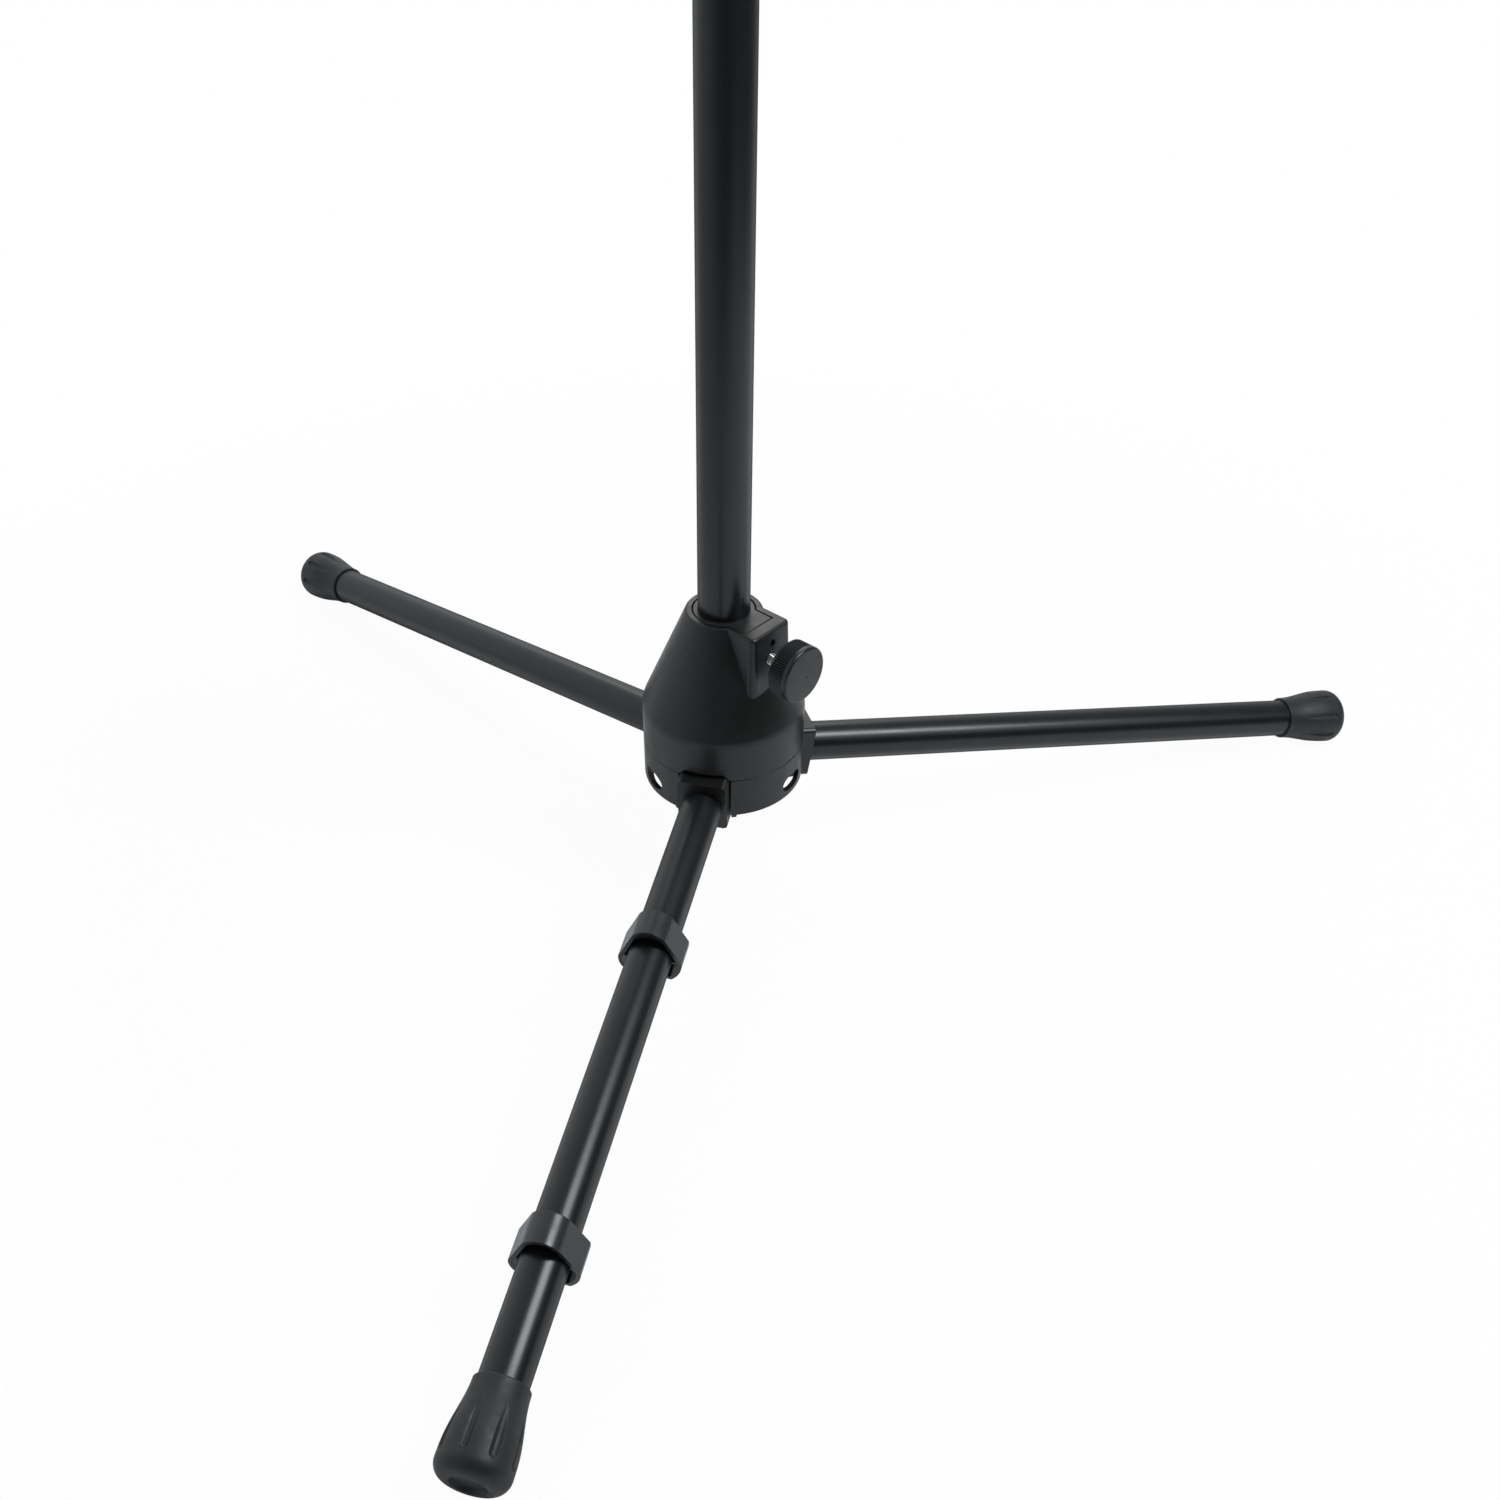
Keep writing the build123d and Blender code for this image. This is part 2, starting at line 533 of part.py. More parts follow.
def column_end_plug():
    """Plug in the column's foot; its flange stops the column leaving the hub upwards."""
    foot = CROSS + COLUMN_FOOT
    plug = disc(foot - PLUG_FLANGE, PLUG_FLANGE_R, PLUG_FLANGE) + disc(
        foot - JOIN, COLUMN_R - COLUMN_WALL, PLUG_SPIGOT)
    hollow = disc(foot, COLUMN_R - 3 * COLUMN_WALL, PLUG_SPIGOT)
    return chamfer((plug - hollow).edges().sort_by(Axis.Z)[0], CLEAR)


def collar_body():
    """Moulded collar pressed on the column, with a clamp boss and the rod's bore."""
    tall = COLLAR_TALL
    body = spin([
        (0, 0), (COLLAR_R - COLLAR_EDGE, 0), (COLLAR_R, COLLAR_EDGE), (COLLAR_R, COLLAR_FULL),
        (COLLAR_R - COLLAR_DRAFT, COLLAR_SHOULDER), (COLLAR_NECK_R, tall - COLLAR_LIP),
        (COLLAR_NECK_R - COLLAR_LIP, tall), (0, tall)])
    boss = Pos(0, 0, COLLAR_SCREW_UP - COLLAR_BOSS_TALL / 2) * Box(
        COLLAR_REACH, COLLAR_BOSS_WIDTH, COLLAR_BOSS_TALL, align=(Align.MIN, Align.CENTER, Align.MIN))
    outer = boss.faces().sort_by(Axis.X)[-1].edges()
    boss = fillet(outer.filter_by(Axis.Y) + boss.edges().filter_by(Axis.Z).sort_by(Axis.X)[-2:], BOSS_EDGE)
    body += boss
    body -= disc(0, COLUMN_R, COLLAR_LAP)
    body -= disc(0, ROD_R + SLIDE_CLEAR, tall)
    screw = Pos(0, 0, COLLAR_SCREW_UP)
    body -= screw * rod_x(0, PAD_R, PAD_OUT + PAD_THICK + CLEAR)
    body -= screw * rod_x(0, SCREW_R + CLEAR, 2 * COLLAR_REACH)
    body -= screw * hex_x(COLLAR_NUT - CLEAR, NUT_THICK + 2 * CLEAR)
    return Pos(0, 0, COLLAR_FOOT) * at_angle(BOSS_AZIMUTH) * body


# ---------------------------------------------------------------- rod and bell peg
def rod_guide():
    """Plug in the rod's foot whose flange runs inside the column."""
    foot = COLLAR_FOOT - ROD_IN
    guide_r = COLUMN_R - COLUMN_WALL - SLIDE_CLEAR
    return disc(foot - GUIDE_TALL / 2, guide_r, GUIDE_TALL / 2) + disc(
        foot - JOIN, ROD_R - ROD_WALL, GUIDE_TALL)


def peg_socket():
    """Adapter pressed in the rod's top; its flange carries the peg."""
    top = ROD_TOP + SOCKET_TALL
    flange = spin([
        (0, ROD_TOP), (ROD_R + SOCKET_LEDGE, ROD_TOP), (SOCKET_R, top - SOCKET_BAND),
        (SOCKET_R, top - SOCKET_EDGE), (SOCKET_R - SOCKET_EDGE, top), (0, top)])
    spigot = disc(ROD_TOP - 2 * SOCKET_TALL, ROD_R - ROD_WALL, 2 * SOCKET_TALL + JOIN)
    screw_foot = top - PEG_SCREW_LONG
    return flange + spigot - disc(screw_foot, SCREW_R, PEG_SCREW_LONG)


def bell_peg():
    """Hollow tapered peg with a base flange, long ribs and an open tip."""
    foot = ROD_TOP + SOCKET_TALL
    tall = PEG_TALL
    floor = 2 * PEG_FLANGE
    flange_r = CUSHION_R - PEG_FLANGE_EDGE
    mouth = tall - PEG_MOUTH_EDGE
    body = spin([
        (0, 0), (flange_r - PEG_FLANGE_EDGE, 0), (flange_r, PEG_FLANGE_EDGE), (flange_r, PEG_FLANGE),
        (PEG_BASE_R, PEG_FLANGE), (PEG_TIP_R, mouth), (PEG_TIP_R - PEG_MOUTH_EDGE, tall), (0, tall)])
    low = (PEG_BASE_R, PEG_FLANGE)
    lean = atan2(PEG_BASE_R - PEG_TIP_R, mouth - PEG_FLANGE)
    rib_long = hypot(PEG_BASE_R - PEG_TIP_R, mouth - PEG_FLANGE) - CUSHION_TALL - 3 * PEG_RIB_R
    rib = Cylinder(PEG_RIB_R, rib_long, align=(Align.CENTER, Align.CENTER, Align.MIN))
    rib += Sphere(PEG_RIB_R) + Pos(0, 0, rib_long) * Sphere(PEG_RIB_R)
    start = CUSHION_TALL + 2 * PEG_RIB_R
    rib = Pos(low[0] - start * sin(lean), 0, low[1] + start * cos(lean)) * Rot(0, -lean * 180 / pi, 0) * rib
    for index in range(PEG_RIBS):
        body += at_angle(360 * index / PEG_RIBS) * rib
    body -= spin([
        (0, floor), (PEG_BASE_R - PEG_WALL, floor), (PEG_TIP_R - PEG_WALL, mouth),
        (PEG_TIP_R - PEG_WALL, tall + PAST), (0, tall + PAST)])
    body -= disc(-PAST, SCREW_R, floor + 2 * PAST)
    return Pos(0, 0, foot) * body


def peg_screw():
    """Screw through the peg's floor into the socket."""
    floor = ROD_TOP + SOCKET_TALL + 2 * PEG_FLANGE
    shank = disc(ROD_TOP + SOCKET_TALL - PEG_SCREW_LONG + 2 * CLEAR, SCREW_R, PEG_SCREW_LONG + 2 * PEG_FLANGE)
    head = spin([
        (0, floor), (NUT_R, floor), (NUT_R, floor + PEG_HEAD_SIDE),
        (PEG_HEAD_TOP_R, floor + PEG_HEAD_TALL - CLEAR), (0, floor + PEG_HEAD_TALL)])
    slot = Pos(0, 0, floor + PEG_HEAD_TALL) * Box(2 * NUT_R, DRIVER_SLOT, 2 * DRIVER_SLOT)
    return shank + head - slot


def peg_cushion():
    """Felt ring on the peg's flange, for the rim of the bell's throat."""
    foot = ROD_TOP + SOCKET_TALL + PEG_FLANGE
    ring = pipe(foot, CUSHION_R, PEG_BASE_R + PEG_RIB_R + CLEAR, CUSHION_TALL)
    rims = ring.edges().filter_by(GeomType.CIRCLE).sort_by(SortBy.RADIUS)[-2:]
    return fillet(rims, CUSHION_EDGE)


def peg_tip():
    """Domed rubber nose that closes the peg."""
    top = ROD_TOP + SOCKET_TALL + PEG_TALL
    rim = PEG_TIP_R - NOSE_INSET
    dome_r = (rim * rim + NOSE_TALL * NOSE_TALL) / (2 * NOSE_TALL)
    dome_foot = top + NOSE_RIM
    dome = Pos(0, 0, dome_foot + NOSE_TALL - dome_r) * Sphere(dome_r) & disc(dome_foot, 2 * rim, NOSE_TALL)
    return disc(top - NOSE_STEM, PEG_TIP_R - PEG_WALL, NOSE_STEM) + disc(top, rim, NOSE_RIM) + dome


# ---------------------------------------------------------------- build
def build():
    clamp = HUB_Z * at_angle(BOSS_AZIMUTH) * Pos(0, 0, SCREW_Z)
    knob_back = BOSS_REACH + KNOB_STANDOFF
    collar = Pos(0, 0, COLLAR_FOOT + COLLAR_SCREW_UP) * at_angle(BOSS_AZIMUTH)
    collar_knob_back = COLLAR_REACH + KNOB_STANDOFF / 2
    pad = rod_x(PAD_OUT, PAD_R, PAD_THICK)
    rod_foot = COLLAR_FOOT - ROD_IN
    nodes = {
        "hub_shell": hub_shell(),
        "hub_bushing": hub_bushing(),
        "hub_clamp_nut": clamp * nut_x(KEY_REACH + 2 * CLEAR),
        "hub_clamp_screw": clamp * screw_x(KEY_REACH + CLEAR, knob_back),
        "hub_clamp_knob": clamp * knob_x(knob_back),
        "leg_hinge_pins": hinge_pins(),
        "column_tube": column_tube(),
        "column_end_plug": column_end_plug(),
        "collar_body": collar_body(),
        "collar_pad": collar * pad,
        "collar_nut": collar * nut_x(COLLAR_NUT),
        "collar_screw": collar * screw_x(PAD_OUT + PAD_THICK + CLEAR, collar_knob_back),
        "collar_knob": collar * knob_x(collar_knob_back),
        "inner_rod": pipe(rod_foot, ROD_R, ROD_R - ROD_WALL, ROD_TOP - rod_foot),
        "rod_guide": rod_guide(),
        "peg_socket": peg_socket(),
        "peg_cushion": peg_cushion(),
        "bell_peg": bell_peg(),
        "peg_screw": peg_screw(),
        "peg_tip": peg_tip(),
    }
    block = knuckle()
    tube = leg_tube()
    cap = foot_cap()
    for name, angle in LEG_ANGLES.items():
        nodes["leg_knuckle_" + name] = HUB_Z * at_angle(angle) * block
        nodes["leg_tube_" + name] = leg_place(name) * tube
        nodes["foot_cap_" + name] = leg_place(name) * cap
    for name, end in CLIP_ENDS.items():
        nodes["leg_clip_" + name] = leg_place("front") * leg_clip(end)
    return nodes


os.makedirs("parts", exist_ok=True)
for node, solid in build().items():
    export_step(solid, "parts/" + node + ".step")
    box = solid.bounding_box()
    print(node, round(solid.volume, 1), [round(v, 1) for v in (*box.min, *box.max)])
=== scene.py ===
"""Looks for the tripod trumpet stand: materials, screw threads, floor, light and camera."""
import json
from math import cos, pi, radians, sin

import bmesh
import bpy
from mathutils import Matrix, Vector


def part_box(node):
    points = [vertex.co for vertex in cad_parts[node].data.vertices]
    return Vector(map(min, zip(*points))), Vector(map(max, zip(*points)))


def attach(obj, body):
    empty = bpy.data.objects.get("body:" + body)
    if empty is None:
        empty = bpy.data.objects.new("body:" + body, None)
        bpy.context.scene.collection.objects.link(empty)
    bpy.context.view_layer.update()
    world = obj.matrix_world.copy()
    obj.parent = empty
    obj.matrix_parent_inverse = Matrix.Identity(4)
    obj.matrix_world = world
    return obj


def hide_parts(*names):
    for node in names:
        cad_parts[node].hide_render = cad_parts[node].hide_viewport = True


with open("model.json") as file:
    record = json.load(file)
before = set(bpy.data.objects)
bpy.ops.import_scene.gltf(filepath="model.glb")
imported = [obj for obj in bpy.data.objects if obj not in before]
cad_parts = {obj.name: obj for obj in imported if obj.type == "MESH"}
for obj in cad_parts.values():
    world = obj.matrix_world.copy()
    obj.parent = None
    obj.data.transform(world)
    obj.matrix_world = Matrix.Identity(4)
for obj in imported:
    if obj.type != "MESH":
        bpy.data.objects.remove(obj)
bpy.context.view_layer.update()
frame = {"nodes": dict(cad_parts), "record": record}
nodes = frame["nodes"]
MM = 0.001

# sockets of the Mix node that carry its two colours, and its two numbers
COLOUR_A, COLOUR_B = 6, 7
NUMBER_A, NUMBER_B = 2, 3

# height at which the legs' axes meet the column's axis, and of the hub's mould seam above it
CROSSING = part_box("hub_shell")[1][2] - 81.0 * MM
HUB_SEAM = CROSSING + 8.0 * MM
# half-width of the pale band of painted light laid along that seam's crease
PAINTED_SEAM_HALF = 0.6 * MM

# clamp screws: M6 x 1 thread, and how finely it is drawn
SHANK_R = 3.0 * MM
PITCH = 1.0 * MM
THREAD_DEPTH = 0.55 * MM
FLANK_SLOPE = 2.6            # the groove's profile over one pitch: how steep its flanks are,
CREST_FLAT = 0.15            # and how much of their rise the flat crest takes
HEAD_STEP = 0.1 * MM         # past the shank by this much, a vertex is the head's
STEPS_PER_PITCH = 8
SIDES = 40
HEAD_SIDES = 6

# floor: corners in metres, and how much of it the camera looks through, near the hub and far off
FLOOR_LEFT, FLOOR_RIGHT, FLOOR_FRONT, FLOOR_BACK = -1.6, 0.85, -0.66, 3.2
FLOOR_PALE = (0.88, 0.88, 0.88)
CLEAR_NEAR, CLEAR_FAR = 0.955, 1.0
NEAR, FAR = 0.30, 0.62

# light
DAYLIGHT = (0.90, 0.955, 1.0)
WARM_WHITE = (1.0, 0.985, 0.94)
WHITE = (1.0, 1.0, 1.0)
WALL_AZIMUTH = 150
WALL_DIM, WALL_BRIGHT = 0.08, 0.90
WALL_FROM, WALL_TO, WALL_FADE = -0.75, 0.9, 1.3
HUB_AT = Vector((0, 0, CROSSING))

# camera
LENS, SENSOR = 38.475, 36.0
CAMERA_AT = (0.154535, -0.622299, 0.48867 + CROSSING)
CAMERA_TURN = (52.504, -0.7216, 13.3059)


# ---------------------------------------------------------------- node helpers
def new_material(name):
    mat = bpy.data.materials.new(name)
    mat.use_nodes = True
    tree = mat.node_tree
    tree.nodes.clear()
    out = tree.nodes.new("ShaderNodeOutputMaterial")
    shader = tree.nodes.new("ShaderNodeBsdfPrincipled")
    tree.links.new(shader.outputs["BSDF"], out.inputs["Surface"])
    return mat, tree, shader


def add(tree, kind, **values):
    """Makes a node; its sockets or its properties are given as keywords."""
    node = tree.nodes.new(kind)
    for key, value in values.items():
        name = key.replace("_", " ")
        if name in node.inputs:
            node.inputs[name].default_value = value
        else:
            setattr(node, key, value)
    return node


def feed(tree, socket, value):
    """Gives an input another node's output, or a plain value."""
    if isinstance(value, bpy.types.NodeSocket):
        tree.links.new(value, socket)
    else:
        socket.default_value = value


def math(tree, operation, first, second):
    node = add(tree, "ShaderNodeMath", operation=operation)
    feed(tree, node.inputs[0], first)
    feed(tree, node.inputs[1], second)
    return node.outputs[0]


def blend(tree, factor, colour, other):
    """From colour, an output or RGB, to other, an RGB."""
    mix = add(tree, "ShaderNodeMix", data_type="RGBA")
    tree.links.new(factor, mix.inputs["Factor"])
    feed(tree, mix.inputs[COLOUR_A], (*colour, 1) if isinstance(colour, tuple) else colour)
    mix.inputs[COLOUR_B].default_value = (*other, 1)
    return mix.outputs[2]


def place(tree, scale=(1, 1, 1)):
    """The object's own coordinates, in metres, stretched by scale."""
    coord = tree.nodes.new("ShaderNodeTexCoord")
    mapping = add(tree, "ShaderNodeMapping", Scale=scale)
    tree.links.new(coord.outputs["Object"], mapping.inputs["Vector"])
    return mapping.outputs["Vector"]


def noise(tree, vector, scale, detail=3.0, rough=0.5):
    node = add(tree, "ShaderNodeTexNoise", Scale=scale, Detail=detail, Roughness=rough)
    tree.links.new(vector, node.inputs["Vector"])
    return node.outputs["Fac"]


def spread(tree, value, low, high, start=0.3, end=0.7):
    """Maps start..end, by default the middle of a noise, onto low..high."""
    node = tree.nodes.new("ShaderNodeMapRange")
    tree.links.new(value, node.inputs["Value"])
    ends = (("From Min", start), ("From Max", end), ("To Min", low), ("To Max", high))
    for key, number in ends:
        node.inputs[key].default_value = number
    return node.outputs["Result"]


def tint(tree, value, dark, light, start=0.3, end=0.7):
    ramp = tree.nodes.new("ShaderNodeValToRGB")
    for stop, at, colour in zip(ramp.color_ramp.elements, (start, end), (dark, light)):
        stop.position = at
        stop.color = (*colour, 1)
    tree.links.new(value, ramp.inputs["Fac"])
    return ramp.outputs["Color"]


def times(colour, factor):
    return tuple(factor * c for c in colour)


# ---------------------------------------------------------------- parts of a finish
def worn(tree, colour, pale, start, end):
    """Lightens convex edges, where handling rubs the finish."""
    geo = tree.nodes.new("ShaderNodeNewGeometry")
    edges = spread(tree, geo.outputs["Pointiness"], 0.0, 1.0, start, end)
    return blend(tree, edges, colour, pale)


def scuffed(tree, colour, pale):
    """Short faint scratches: thin crests of a long-grained noise, in patches."""
    grain = noise(tree, place(tree, (1, 1, 7)), 120.0, 1.0)
    patch = noise(tree, place(tree), 38.0, 1.0)
    line = spread(tree, grain, 0.0, 1.0, 0.700, 0.712)
    where = spread(tree, patch, 0.0, 0.8, 0.55, 0.62)
    return blend(tree, math(tree, "MULTIPLY", line, where), colour, times(pale, 2.0))


def seam_painted_light(tree, colour, height, pale):
    """Painted light: a pale band round the part along the crease where the mould's halves met,
    which lightens the crease's shade.
    """
    split = tree.nodes.new("ShaderNodeSeparateXYZ")
    tree.links.new(place(tree), split.inputs[0])
    lit_band = add(tree, "ShaderNodeMath", operation="COMPARE")
    for socket, value in zip(lit_band.inputs, (split.outputs["Z"], height, PAINTED_SEAM_HALF)):
        feed(tree, socket, value)
    return blend(tree, lit_band.outputs[0], colour, pale)


def gloss(tree, shader, value, low, high, glance):
    """Roughness from a noise, rising at a glancing angle, where a coarse skin scatters most."""
    layer = add(tree, "ShaderNodeLayerWeight", Blend=0.5)
    rise = spread(tree, layer.outputs["Facing"], 0.0, glance, 0.60, 1.0)
    rough = math(tree, "ADD", spread(tree, value, low, high), rise)
    tree.links.new(rough, shader.inputs["Roughness"])


def bump(tree, shader, height, strength, distance, under=None):
    node = add(tree, "ShaderNodeBump", Strength=strength, Distance=distance)
    tree.links.new(height, node.inputs["Height"])
    if under is not None:
        tree.links.new(under, node.inputs["Normal"])
    tree.links.new(node.outputs["Normal"], shader.inputs["Normal"])


def soft_edge(tree, radius):
    return add(tree, "ShaderNodeBevel", Radius=radius, samples=6).outputs["Normal"]


# ---------------------------------------------------------------- materials
def moulded(name, dark, light, rough, grain, depth, edge=None, edge_r=0.35, scuffs=False,
            painted_light_seam_z=None, glance=0.12):
    """Injection-moulded plastic: spark-eroded grain, faint flow marks, rubbed edges, and painted
    light along the mould's crease where a seam height is given.

    grain is the noise's scale; depth and edge_r, the rounding that edges seem to have, are in mm.
    """
    mat, tree, shader = new_material(name)
    at = place(tree)
    flow = noise(tree, place(tree, (1, 1, 0.35)), 45.0, 4.0)
    colour = tint(tree, flow, dark, light)
    if edge:
        colour = worn(tree, colour, edge, 0.53, 0.62)
    if scuffs:
        colour = scuffed(tree, colour, edge)
    # where a seam height is given, painted light: a pale band along the mould's crease that
    # offsets its shade
    if painted_light_seam_z is not None:
        colour = seam_painted_light(tree, colour, painted_light_seam_z, times(light, 3.0))
    tree.links.new(colour, shader.inputs["Base Color"])
    gloss(tree, shader, noise(tree, at, 160.0, 1.0), rough - 0.03, rough + 0.04, glance)
    under = soft_edge(tree, edge_r * MM) if edge_r else None
    bump(tree, shader, noise(tree, at, grain, 2.0, 0.6), 0.2, depth * MM, under)
    return mat


def coated(name, dark, light, rough):
    """Satin powder coat on drawn tube: faint orange peel, and a slight drift in gloss."""
    mat, tree, shader = new_material(name)
    at = place(tree)
    colour = tint(tree, noise(tree, at, 30.0, 3.0), dark, light)
    tree.links.new(colour, shader.inputs["Base Color"])
    gloss(tree, shader, noise(tree, at, 55.0, 1.0), rough - 0.015, rough + 0.015, 0.55)
    bump(tree, shader, noise(tree, at, 240.0, 0.0), 0.30, 0.05 * MM)
    return mat


def rubber(name, dark, light, rough):
    """Moulded rubber: matt, with fine pores and rubbed edges."""
    mat, tree, shader = new_material(name)
    at = place(tree)
    colour = tint(tree, noise(tree, at, 90.0, 5.0, 0.6), dark, light)
    colour = worn(tree, colour, times(light, 1.5), 0.52, 0.60)
    tree.links.new(colour, shader.inputs["Base Color"])
    sheen = spread(tree, noise(tree, at, 240.0, 3.0), rough - 0.06, rough + 0.06)
    tree.links.new(sheen, shader.inputs["Roughness"])
    shader.inputs["Specular IOR Level"].default_value = 0.45
    pores = noise(tree, at, 2200.0, 3.0, 0.65)
    bump(tree, shader, pores, 0.3, 0.06 * MM, soft_edge(tree, 0.5 * MM))
    return mat


def plated(name):
    """Bright zinc plate: slightly clouded, with fine turning marks."""
    mat, tree, shader = new_material(name)
    at = place(tree)
    colour = tint(tree, noise(tree, at, 500.0, 4.0), (0.62, 0.63, 0.62), (0.80, 0.80, 0.78))
    tree.links.new(colour, shader.inputs["Base Color"])
    shader.inputs["Metallic"].default_value = 1.0
    rough = spread(tree, noise(tree, at, 900.0, 4.0), 0.18, 0.34)
    tree.links.new(rough, shader.inputs["Roughness"])
    bump(tree, shader, noise(tree, place(tree, (1, 1, 6)), 2500.0, 2.0), 0.15, 0.02 * MM)
    return mat


def felted(name):
    """Pressed felt under the bell: short fibres, fuzzy sheen."""
    mat, tree, shader = new_material(name)
    fibre = noise(tree, place(tree, (1, 1, 3)), 1600.0, 6.0, 0.75)
    colour = tint(tree, fibre, (0.006, 0.006, 0.007), (0.030, 0.030, 0.033))
    tree.links.new(colour, shader.inputs["Base Color"])
    shader.inputs["Roughness"].default_value = 0.95
    shader.inputs["Specular IOR Level"].default_value = 0.15
    shader.inputs["Sheen Weight"].default_value = 0.35
    shader.inputs["Sheen Roughness"].default_value = 0.5
    bump(tree, shader, noise(tree, place(tree), 1100.0, 6.0, 0.75), 0.7, 0.25 * MM)
    return mat


# one look for each material slot of the record
LOOKS = {
    # the hub's plastic has a pale band of painted light along its mould crease
    "hub_plastic": moulded(
        "hub_plastic", (0.0052, 0.0054, 0.0057), (0.0082, 0.0085, 0.0089), rough=0.37,
        grain=2600.0, depth=0.05, edge=(0.016, 0.016, 0.017), edge_r=0.2, scuffs=True,
        painted_light_seam_z=HUB_SEAM, glance=0.0),
    "bushing_plastic": moulded(
        "bushing_plastic", (0.0050, 0.0050, 0.0052), (0.0080, 0.0080, 0.0083), rough=0.38,
        grain=2000.0, depth=0.04, edge=(0.016, 0.016, 0.017), edge_r=0.15),
    "knuckle_plastic": moulded(
        "knuckle_plastic", (0.006, 0.006, 0.006), (0.009, 0.009, 0.009), rough=0.34,
        grain=2200.0, depth=0.03, edge=(0.020, 0.020, 0.021), scuffs=True),
    "clip_plastic": moulded(
        "clip_plastic", (0.009, 0.009, 0.0094), (0.013, 0.013, 0.0135), rough=0.29,
        grain=2200.0, depth=0.03, edge=(0.026, 0.026, 0.027), scuffs=True, glance=0.0),
    "knob_plastic": moulded(
        "knob_plastic", (0.0075, 0.0079, 0.0087), (0.0110, 0.0114, 0.0122), rough=0.36,
        grain=2000.0, depth=0.04, edge_r=0),
    "peg_plastic": moulded(
        "peg_plastic", (0.006, 0.006, 0.006), (0.009, 0.009, 0.009), rough=0.36,
        grain=2200.0, depth=0.03, edge=(0.016, 0.016, 0.017)),
    "black_tube": coated(
        "black_coat", (0.0042, 0.0044, 0.0047), (0.0068, 0.0070, 0.0074), rough=0.30),
    "cap_rubber": rubber(
        "cap_rubber", (0.013, 0.013, 0.0138), (0.020, 0.020, 0.0213), rough=0.50),
    "zinc_steel": plated("zinc_plate"),
    "felt": felted("felt"),
}

for row in frame["record"]["subparts"]:
    skin = nodes[row["node"]].data.materials
    skin.clear()
    skin.append(LOOKS[row["material_slot"]])


# ---------------------------------------------------------------- threaded clamp screws
def thread_out(along, turn):
    """The thread's radius at a distance from the screw's tip, and a part 0..1 of a turn."""
    phase = (along / PITCH - turn) % 1.0
    flank = min(1.0, max(0.0, FLANK_SLOPE * abs(phase - 0.5) - CREST_FLAT))
    root = SHANK_R - THREAD_DEPTH
    return min(SHANK_R - THREAD_DEPTH * flank, root + along)


def loft(mesh, rings):
    """Faces between rings of as many vertices each, closed at both ends."""
    for low, high in zip(rings, rings[1:]):
        for side in range(len(low)):
            after = (side + 1) % len(low)
            mesh.faces.new((low[side], low[after], high[after], high[side]))
    mesh.faces.new(list(reversed(rings[0])))
    mesh.faces.new(rings[-1])


def threaded_screw(name, node, joint, body):
    """The CAD screw with its real thread: same axis, length, shank and head."""
    joints = frame["record"]["behaviour"]["joints"]
    row = next(j for j in joints if j["name"] == joint)
    start, axis = Vector(row["pos_m"]), Vector(row["axis"]).normalized()
    reach = []
    for vertex in nodes[node].data.vertices:
        step = vertex.co - start
        along = step.dot(axis)
        reach.append((along, (step - along * axis).length))
    head = [pair for pair in reach if pair[1] > SHANK_R + HEAD_STEP]
    head_foot, head_top = min(head)[0], max(head)[0]
    head_r = max(out for _, out in head)
    tip = min(reach)[0]
    length = head_foot - tip

    mesh = bmesh.new()
    steps = int(length / (PITCH / STEPS_PER_PITCH))
    shank = []
    for index in range(steps + 1):
        along = index * length / steps
        ring = []
        for side in range(SIDES):
            out = thread_out(along, side / SIDES)
            turn = 2 * pi * side / SIDES
            ring.append(mesh.verts.new((tip + along, out * cos(turn), out * sin(turn))))
        shank.append(ring)
    loft(mesh, shank)
    corners = [2 * pi * k / HEAD_SIDES for k in range(HEAD_SIDES)]
    loft(mesh, [[mesh.verts.new((along, head_r * cos(turn), head_r * sin(turn)))
                 for turn in corners] for along in (head_foot, head_top)])
    bmesh.ops.recalc_face_normals(mesh, faces=mesh.faces)
    turned = Vector((1, 0, 0)).rotation_difference(axis).to_matrix().to_4x4()
    mesh.transform(Matrix.Translation(start) @ turned)
    data = bpy.data.meshes.new(name)
    mesh.to_mesh(data)
    mesh.free()
    obj = bpy.data.objects.new(name, data)
    bpy.context.scene.collection.objects.link(obj)
    data.materials.append(LOOKS["zinc_steel"])
    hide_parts(node)
    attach(obj, body)


threaded_screw("hub_screw_threaded", "hub_clamp_screw", "hub_knob_turn", "hub_knob")
threaded_screw("collar_screw_threaded", "collar_screw", "collar_knob_turn", "upper_knob")


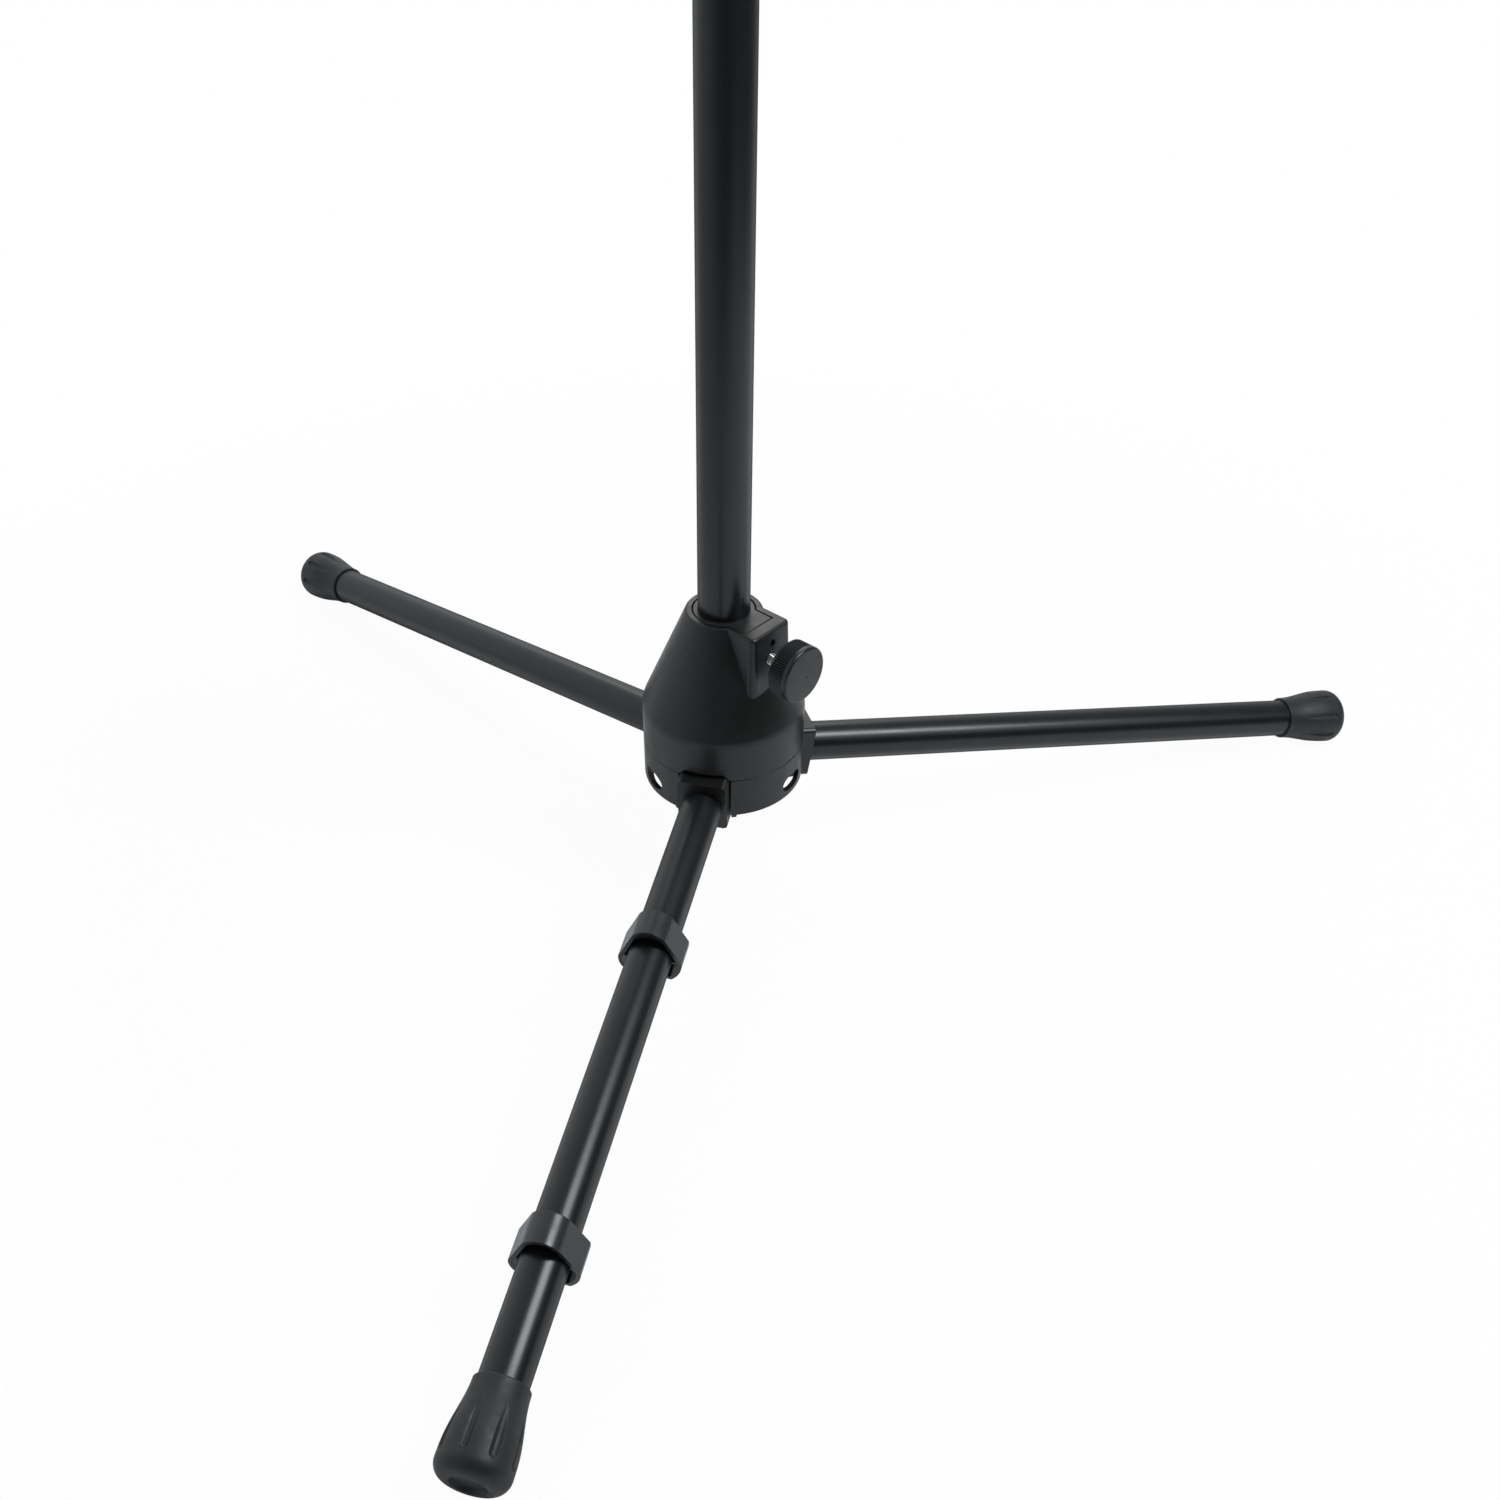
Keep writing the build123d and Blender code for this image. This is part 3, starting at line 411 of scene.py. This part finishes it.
# ---------------------------------------------------------------- stage, light and camera
def floor():
    """Pale table top that keeps a faint shadow round the stand.

    The camera mostly looks through it to the white behind, so it never hides a leg folded below.
    """
    mesh = bpy.data.meshes.new("floor")
    mesh.from_pydata([(FLOOR_LEFT, FLOOR_FRONT, 0), (FLOOR_RIGHT, FLOOR_FRONT, 0),
                      (FLOOR_RIGHT, FLOOR_BACK, 0), (FLOOR_LEFT, FLOOR_BACK, 0)],
                     [], [(0, 1, 2, 3)])
    obj = bpy.data.objects.new("floor", mesh)
    bpy.context.scene.collection.objects.link(obj)
    mat, tree, shader = new_material("floor_white")
    shader.inputs["Base Color"].default_value = (*FLOOR_PALE, 1)
    shader.inputs["Roughness"].default_value = 0.9
    shader.inputs["Specular IOR Level"].default_value = 0.2
    clear = tree.nodes.new("ShaderNodeBsdfTransparent")
    path = tree.nodes.new("ShaderNodeLightPath")
    away = add(tree, "ShaderNodeVectorMath", operation="LENGTH")
    tree.links.new(place(tree), away.inputs[0])
    see_through = spread(tree, away.outputs["Value"], CLEAR_NEAR, CLEAR_FAR, NEAR, FAR)
    mix = tree.nodes.new("ShaderNodeMixShader")
    share = math(tree, "MULTIPLY", path.outputs["Is Camera Ray"], see_through)
    tree.links.new(share, mix.inputs["Fac"])
    tree.links.new(shader.outputs["BSDF"], mix.inputs[1])
    tree.links.new(clear.outputs["BSDF"], mix.inputs[2])
    out = next(n for n in tree.nodes if n.type == "OUTPUT_MATERIAL")
    tree.links.new(mix.outputs["Shader"], out.inputs["Surface"])
    mesh.materials.append(mat)


def heading(azimuth, elevation=0.0):
    """Unit vector, with azimuth in degrees from +X towards +Y."""
    az, el = radians(azimuth), radians(elevation)
    return Vector((cos(az) * cos(el), sin(az) * cos(el), sin(el)))


def sky():
    """White behind the object. Its light and reflections come from a room with one bright wall."""
    world = bpy.data.worlds.new("studio")
    world.use_nodes = True
    tree = world.node_tree
    seen = tree.nodes.new("ShaderNodeLightPath").outputs["Is Camera Ray"]
    back = next(n for n in tree.nodes if n.type == "BACKGROUND")
    tree.links.new(blend(tree, seen, DAYLIGHT, WHITE), back.inputs["Color"])
    coord = tree.nodes.new("ShaderNodeTexCoord")
    facing = add(tree, "ShaderNodeVectorMath", operation="DOT_PRODUCT")
    tree.links.new(coord.outputs["Generated"], facing.inputs[0])
    facing.inputs[1].default_value = heading(WALL_AZIMUTH)
    wall = spread(tree, facing.outputs["Value"], 0.0, 1.0, WALL_FROM, WALL_TO)
    fade = math(tree, "POWER", wall, WALL_FADE)
    strength = add(tree, "ShaderNodeMix", data_type="FLOAT")
    tree.links.new(seen, strength.inputs["Factor"])
    tree.links.new(spread(tree, fade, WALL_DIM, WALL_BRIGHT, 0.0, 1.0), strength.inputs[NUMBER_A])
    strength.inputs[NUMBER_B].default_value = 1.0
    tree.links.new(strength.outputs[0], back.inputs["Strength"])
    bpy.context.scene.world = world


def softbox(name, azimuth, elevation, distance, size, radiance, colour):
    """A rectangular lamp whose brightness is given per area, as a softbox is judged."""
    data = bpy.data.lights.new(name, "AREA")
    data.shape = "RECTANGLE"
    data.size, data.size_y = size
    data.color = colour
    data.energy = radiance * pi * size[0] * size[1]
    obj = bpy.data.objects.new(name, data)
    bpy.context.scene.collection.objects.link(obj)
    obj.visible_camera = False
    towards = heading(azimuth, elevation)
    obj.location = HUB_AT + distance * towards
    obj.rotation_euler = (-towards).to_track_quat("-Z", "Y").to_euler()


def camera():
    data = bpy.data.cameras.new("camera")
    data.lens = LENS
    data.sensor_width = SENSOR
    obj = bpy.data.objects.new("camera", data)
    bpy.context.scene.collection.objects.link(obj)
    obj.location = CAMERA_AT
    obj.rotation_euler = [radians(turn) for turn in CAMERA_TURN]
    bpy.context.scene.camera = obj


floor()
sky()
softbox("key", azimuth=-1, elevation=57, distance=1.00, size=(0.17, 0.52), radiance=21.0,
        colour=DAYLIGHT)
softbox("back", azimuth=104, elevation=38, distance=2.0, size=(1.1, 1.1), radiance=1.9,
        colour=WARM_WHITE)
softbox("right", azimuth=-12, elevation=40, distance=2.2, size=(1.0, 1.1), radiance=1.0,
        colour=DAYLIGHT)
camera()
bpy.context.scene.view_settings.view_transform = "Standard"
